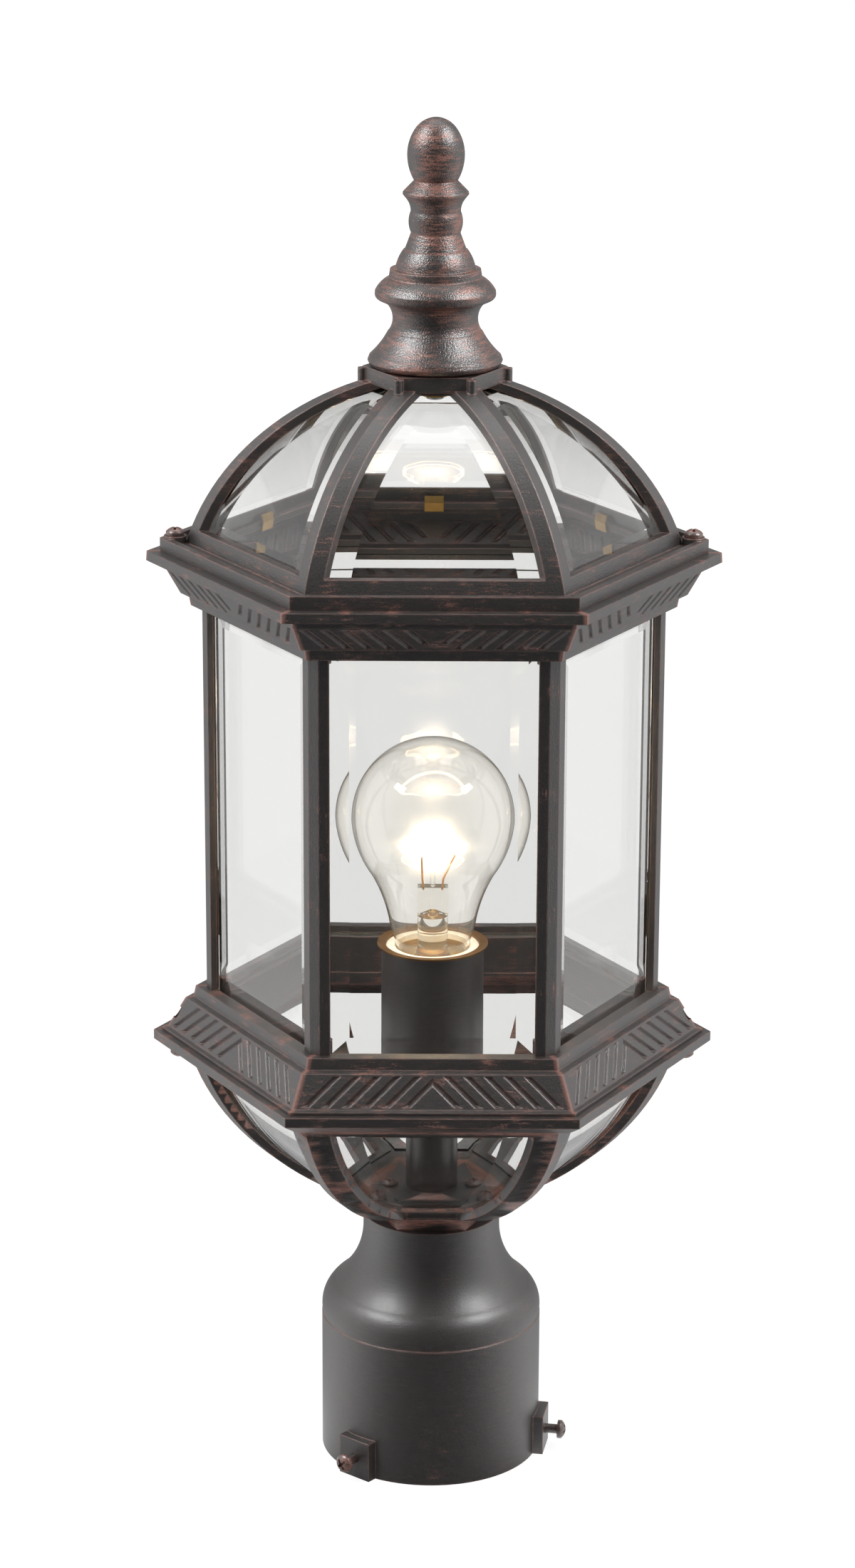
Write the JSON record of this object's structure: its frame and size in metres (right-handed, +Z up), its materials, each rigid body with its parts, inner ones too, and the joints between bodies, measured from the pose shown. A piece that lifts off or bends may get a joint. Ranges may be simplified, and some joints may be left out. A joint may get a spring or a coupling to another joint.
{
  "type": "post top lantern",
  "caption": "Hexagonal post top lantern with domed glass roof, bevelled side panes, glass bowl, turned finial, bulb and post fitter.",
  "frame": {"origin": "middle of the fitter's lower rim", "axes": "+Z up along the post, corners of the hexagon on X, one flat side faces -Y"},
  "size_m": [0.2036, 0.1764, 0.4964],
  "materials": {
    "painted_casting": "dark bronze with rubbed copper edges, satin",
    "dark_sleeve": "satin black",
    "painted_screw": "satin",
    "clear_glass": "clear, bevelled",
    "bulb_glass": "clear",
    "brass": "plain",
    "steel": "zinc plated",
    "porcelain": "glazed ceramic",
    "filament": "glowing"
  },
  "bodies": {
    "cage": {"bowl_frame": "painted_casting", "bowl_glass_1": "clear_glass", "bowl_glass_2": "clear_glass", "bowl_glass_3": "clear_glass", "bowl_glass_4": "clear_glass", "bowl_glass_5": "clear_glass", "bowl_glass_6": "clear_glass", "bowl_screws": "painted_screw", "centre_contact": "brass", "gallery": "painted_casting", "lock_nut_lower": "brass", "lock_nut_upper": "brass", "nipple": "brass", "pan_screws": "brass", "post_1": "painted_casting", "post_2": "painted_casting", "post_3": "painted_casting", "post_4": "painted_casting", "post_5": "painted_casting", "post_6": "painted_casting", "post_fitter": "painted_casting", "screw_shell": "brass", "side_glass_1": "clear_glass", "side_glass_2": "clear_glass", "side_glass_3": "clear_glass", "side_glass_4": "clear_glass", "side_glass_5": "clear_glass", "side_glass_6": "clear_glass", "socket_body": "porcelain", "socket_rim": "brass", "socket_sleeve": "dark_sleeve", "stem_tube": "dark_sleeve", "upper_frame": "painted_casting"},
    "roof": {"roof_frame": "painted_casting", "roof_glass_1": "clear_glass", "roof_glass_2": "clear_glass", "roof_glass_3": "clear_glass", "roof_glass_4": "clear_glass", "roof_glass_5": "clear_glass", "roof_glass_6": "clear_glass", "glass_clips": "brass", "finial": "painted_casting", "finial_stud": "steel", "finial_washer": "brass", "finial_nut": "brass"},
    "roof_screw_left": {"roof_screw_left": "painted_screw"},
    "roof_screw_right": {"roof_screw_right": "painted_screw"},
    "clamp_screw_1": {"clamp_screw_1": "painted_screw"},
    "clamp_screw_2": {"clamp_screw_2": "painted_screw"},
    "clamp_screw_3": {"clamp_screw_3": "painted_screw"},
    "bulb": {"bulb_glass": "bulb_glass", "bulb_cap": "brass", "bulb_contact": "steel", "bulb_stem": "bulb_glass", "filament_leads": "steel", "filament": "filament"}
  },
  "joints": [
    {"name": "roof_lift", "type": "slide", "parent": "cage", "child": "roof", "axis": [0, 0, 1], "range_m": [0, 0.16]},
    {"name": "roof_screw_left_out", "type": "slide", "parent": "roof", "child": "roof_screw_left", "axis": [0, 0, 1], "range_m": [0, 0.006]},
    {"name": "roof_screw_right_out", "type": "slide", "parent": "roof", "child": "roof_screw_right", "axis": [0, 0, 1], "range_m": [0, 0.006]},
    {"name": "bulb_out", "type": "slide", "parent": "cage", "child": "bulb", "axis": [0, 0, 1], "range_m": [0, 0.045]},
    {"name": "clamp_screw_1_turn", "type": "slide", "parent": "cage", "child": "clamp_screw_1", "axis": [0.6428, 0.766, 0], "range_m": [-0.004, 0.0045]},
    {"name": "clamp_screw_2_turn", "type": "slide", "parent": "cage", "child": "clamp_screw_2", "axis": [-0.9848, 0.1736, 0], "range_m": [-0.004, 0.0045]},
    {"name": "clamp_screw_3_turn", "type": "slide", "parent": "cage", "child": "clamp_screw_3", "axis": [0.342, -0.9397, 0], "range_m": [-0.004, 0.0045]}
  ]
}
